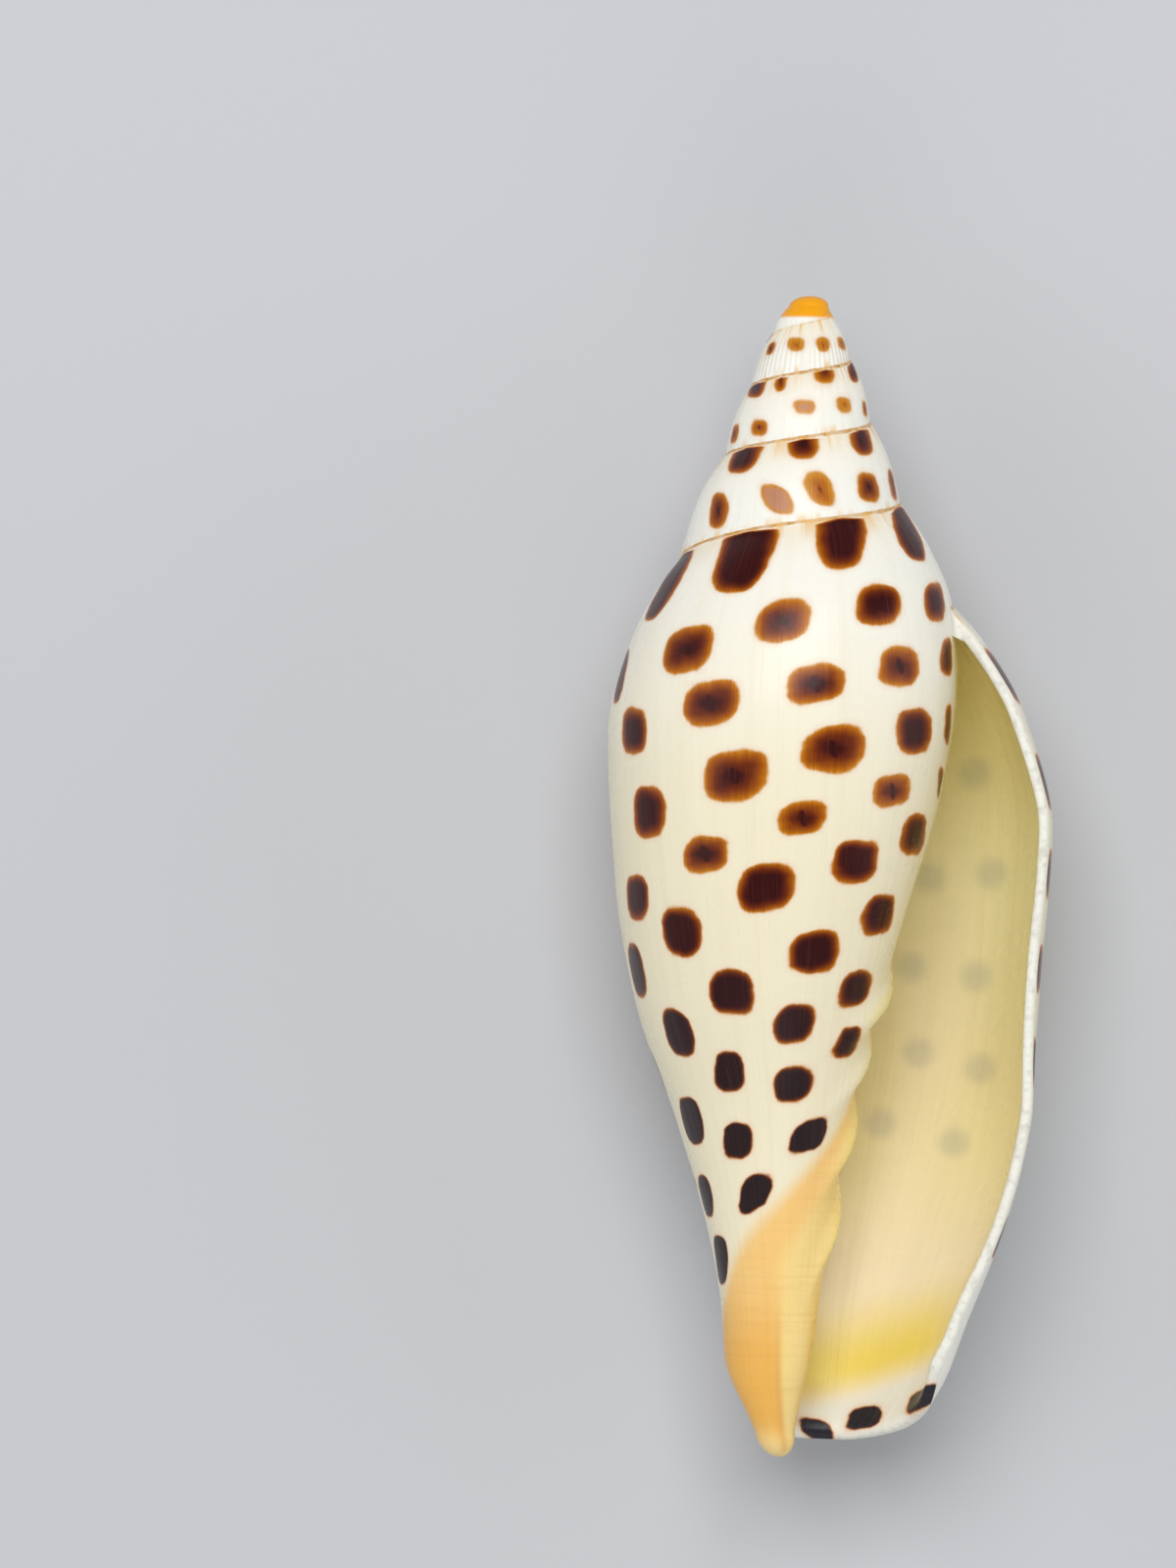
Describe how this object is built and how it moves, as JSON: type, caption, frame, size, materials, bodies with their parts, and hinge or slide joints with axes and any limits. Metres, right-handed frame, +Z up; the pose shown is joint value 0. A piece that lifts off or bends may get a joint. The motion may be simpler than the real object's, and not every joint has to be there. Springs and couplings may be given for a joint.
{
  "type": "scaphella mercedesae shell",
  "caption": "Spotted volute sea shell with a tall spire and a long open aperture, lying on its back on a small flat spot.",
  "frame": {"origin": "centre of the shell's bounding box, on the surface that its flat spot rests on", "axes": "+Y along the shell to the apex of the spire, +X to the outer lip, +Z up, out of the aperture"},
  "size_m": [0.0383, 0.1, 0.0329],
  "materials": {
    "shell": "glossy"
  },
  "bodies": {
    "root": {"shell": "shell"}
  },
  "joints": []
}
